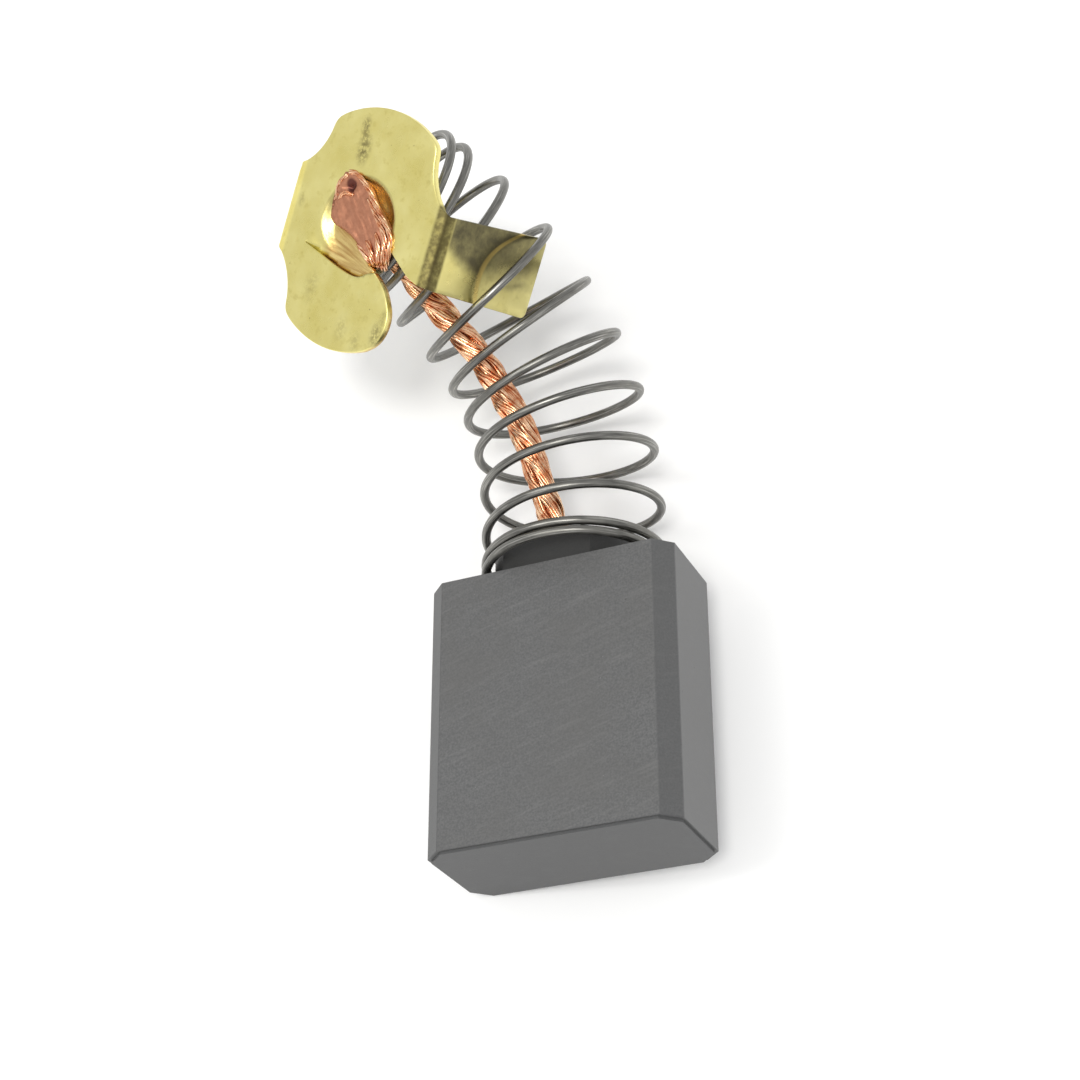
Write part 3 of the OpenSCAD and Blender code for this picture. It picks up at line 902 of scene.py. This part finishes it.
def wire_bundle(path, rng, wires, r_bundle, r_wire, turn, sides=6):
    """Fine wires laid up round a path."""
    d = np.linalg.norm(np.diff(path, axis=0), axis=1)
    s = np.concatenate([[0], np.cumsum(d)])
    dd, ee, ff = carry_frame(path, (0.3, 1, 0.2))
    out = []
    for w in range(wires):
        if w == wires - 1:
            cw = path
        else:
            a = 2 * np.pi * (w / (wires - 1) + s / turn) + rng.normal(0, 0.12)
            r = r_bundle * (1 + 0.12 * np.sin(2 * np.pi * s / 1.9 + w * 1.3 + rng.uniform(0, 6)))
            cw = path + r[:, None] * (np.cos(a)[:, None] * ee + np.sin(a)[:, None] * ff)
        out.append(tube(cw, r_wire, sides, (0.3, 1, 0.2)))
    return out


def make_shunt():
    rng = np.random.default_rng(11)
    path, s = resample(curve(ROUTE[1:], 24), 0.2)
    d, e, f = carry_frame(path, (1, 0, 0))
    parts = []
    bundles = 7
    lay = -9.5      # one turn of a bundle, in mm; the rope is laid left-handed
    for b in range(bundles):
        if b == bundles - 1:
            parts.append(tube(path, 0.27, 8, (0.3, 1, 0.2)))
            continue
        a = 2 * np.pi * (b / (bundles - 1) + s / lay) + rng.normal(0, 0.1)
        r = 0.485 * (1 + 0.10 * np.sin(2 * np.pi * s / 3.3 + b * 2.1))
        a = a + 0.16 * np.sin(2 * np.pi * s / 2.7 + b * 1.9)
        cb = path + r[:, None] * (np.cos(a)[:, None] * e + np.sin(a)[:, None] * f)
        parts += wire_bundle(cb, rng, 8, 0.172, 0.088, -8.5)
    for i, p in enumerate(RIBS):
        q, _ = resample(curve(p, 12), 0.09)
        if i < 5:
            parts += wire_bundle(on_terminal(q), rng, 5, 0.085, 0.066, -2.4)
        else:
            parts += wire_bundle(on_terminal(q), rng, 4, 0.06, 0.06, -2.4)
    v, faces, uvs = join_parts(parts)
    o = new_mesh("shunt_rope", placed(v), faces, uvs=uvs)
    finish_piece(o, [COPPER], ["shunt"])

    # the pressed pad in the dimple
    edge = curve(PAD + [PAD[0]], 6)[:-1]
    pts = [Vector(p) for p in edge]
    for a in np.arange(-2.5, 2.5, 0.075):
        for t in np.arange(-1.5, 2.9, 0.075):
            if np.hypot(edge[:, 0] - a, edge[:, 1] - t).min() > 0.05:
                pts.append(Vector((a, t)))
    n = len(edge)
    vo, eo, fo, ov, oe, of_ = geometry.delaunay_2d_cdt(pts, [(i, (i + 1) % n) for i in range(n)], [list(range(n))], 1, 1e-4)
    vo, fo = used_only(vo, fo)
    p = np.array([(q.x, q.y) for q in vo])
    rim = np.array([np.hypot(edge[:, 0] - a, edge[:, 1] - b).min() for a, b in p])
    along = p @ np.array([-0.77, 0.64])
    across = p @ np.array([0.64, 0.77])
    h = -0.07 + 0.008 * np.sin(across * 9 + 0.8 * np.sin(along * 1.7))
    h += np.array([noise.noise(Vector((a * 1.6, b * 1.6, 0.7))) for a, b in p]) * 0.06
    h += np.array([noise.noise(Vector((c * 6.0, l * 1.1, 5.0))) for c, l in zip(across, along)]) * 0.03
    h -= 0.24 * (1 - smooth01(rim / 0.18))
    h -= 0.24 * np.exp(-(((p[:, 0] + 1.42) / 0.28) ** 2 + ((p[:, 1] - 2.08) / 0.33) ** 2))
    h = np.maximum(h, sheet_height(p[:, 0], p[:, 1]) + 0.035)
    top = np.column_stack([p, h])
    bot = np.column_stack([p, np.full(len(p), -0.44)])
    m = len(p)
    F = [list(q) for q in fo] + [[i + m for i in q[::-1]] for q in fo]
    count = {(q[i], q[(i + 1) % len(q)]) for q in fo for i in range(len(q))}
    F += [[b, a, a + m, b + m] for a, b in count if (b, a) not in count]
    o = new_mesh("shunt_pressed_end", placed(on_terminal(np.vstack([top, bot]))), F)
    finish_piece(o, [PRESSED], None)


make_shunt()

# ---------------------------------------------------------------------------
# floor and light
# ---------------------------------------------------------------------------
floor_z = cad_box[0][2]
bm = bmesh.new()
bmesh.ops.create_grid(bm, x_segments=1, y_segments=1, size=1.5)
me = bpy.data.meshes.new("floor")
bm.to_mesh(me)
bm.free()
floor = bpy.data.objects.new("floor", me)
floor.location = (0, 0, floor_z)
scene.collection.objects.link(floor)
fm = Mat("floor_white")
fm.set(Roughness=0.9)
fm.link(Base_Color=fm.mix(fm.noise(fm.mm, 0.02, 2), (0.93, 0.93, 0.925), (0.95, 0.95, 0.945)))
me.materials.append(fm.m)

world = bpy.data.worlds.new("studio")
scene.world = world
world.use_nodes = True
bg = world.node_tree.nodes["Background"]
bg.inputs["Color"].default_value = (0.985, 0.99, 1.0, 1)
bg.inputs["Strength"].default_value = 0.80

# a high soft key from the camera's side, and a small card for the dimple's glint
sun = bpy.data.lights.new("key", "SUN")
sun.energy, sun.angle, sun.color = 1.24, math.radians(14), (1.0, 0.99, 0.97)
o = bpy.data.objects.new("key", sun)
a, b = math.radians(70), math.radians(-90)
o.rotation_euler = Vector((math.cos(a) * math.cos(b), math.cos(a) * math.sin(b), math.sin(a))).to_track_quat("Z", "Y").to_euler()
scene.collection.objects.link(o)

CARD = (-0.42, -0.27, 0.87)
card = bpy.data.lights.new("card", "AREA")
card.size, card.energy, card.color = 56 * MM, 0.064, (1.0, 1.0, 0.98)
o = bpy.data.objects.new("card", card)
p = Vector(placed(on_terminal((-2.5, -0.7, -0.2))) * MM)
d = Vector(CARD).normalized()
o.location = p + d * 0.18
o.rotation_euler = d.to_track_quat("Z", "Y").to_euler()
scene.collection.objects.link(o)
